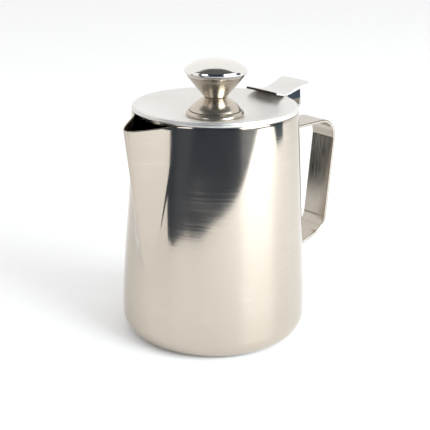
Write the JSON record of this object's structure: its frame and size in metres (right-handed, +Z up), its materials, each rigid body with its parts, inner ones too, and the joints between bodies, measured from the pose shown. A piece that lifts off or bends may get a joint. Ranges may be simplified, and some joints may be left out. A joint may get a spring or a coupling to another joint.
{
  "type": "milk frother",
  "caption": "Stainless steel hand-pump milk frother: spouted jug with strip handle, lift-off dished lid with thumb tab, and a mesh-screen plunger with a waisted knob.",
  "frame": {"origin": "centre of the jug's flat base", "axes": "+Z up, +X towards the handle, -X towards the pouring spout"},
  "size_m": [0.1481, 0.1016, 0.1512],
  "materials": {
    "brushed_steel": "fine circumferential brushing",
    "strip_steel": "satin strip, brushed along its length",
    "polished_steel": "polished",
    "turned_steel": "turned, with fine rings",
    "mesh_steel": "woven wire",
    "spring_steel": "drawn wire",
    "nylon": "natural nylon",
    "brass": "turned"
  },
  "bodies": {
    "jug": {"jug_body": "brushed_steel", "handle": "strip_steel"},
    "lid": {"lid_plate": "polished_steel", "lid_skirt": "polished_steel", "thumb_tab": "polished_steel", "retaining_clip": "polished_steel", "guide_flange": "turned_steel", "guide_cone": "turned_steel", "guide_bush": "nylon", "guide_washer": "turned_steel", "guide_nut": "turned_steel"},
    "plunger": {"plunger_rod": "polished_steel", "end_nut": "turned_steel", "lower_plate": "polished_steel", "lower_mesh": "mesh_steel", "edge_coil": "spring_steel", "lower_clamp_disc": "polished_steel", "spacer_tube": "polished_steel", "upper_support_disc": "polished_steel", "upper_mesh": "mesh_steel", "upper_hoop": "polished_steel", "upper_clamp_disc": "polished_steel", "lock_nut": "turned_steel", "knob_insert": "brass", "knob_cone": "turned_steel", "knob_cap": "polished_steel"}
  },
  "joints": [
    {"name": "lid_lift", "type": "slide", "parent": "jug", "child": "lid", "axis": [0, 0, 1], "range_m": [0, 0.13]},
    {"name": "plunger_slide", "type": "slide", "parent": "lid", "child": "plunger", "axis": [0, 0, 1], "range_m": [0, 0.084]}
  ]
}
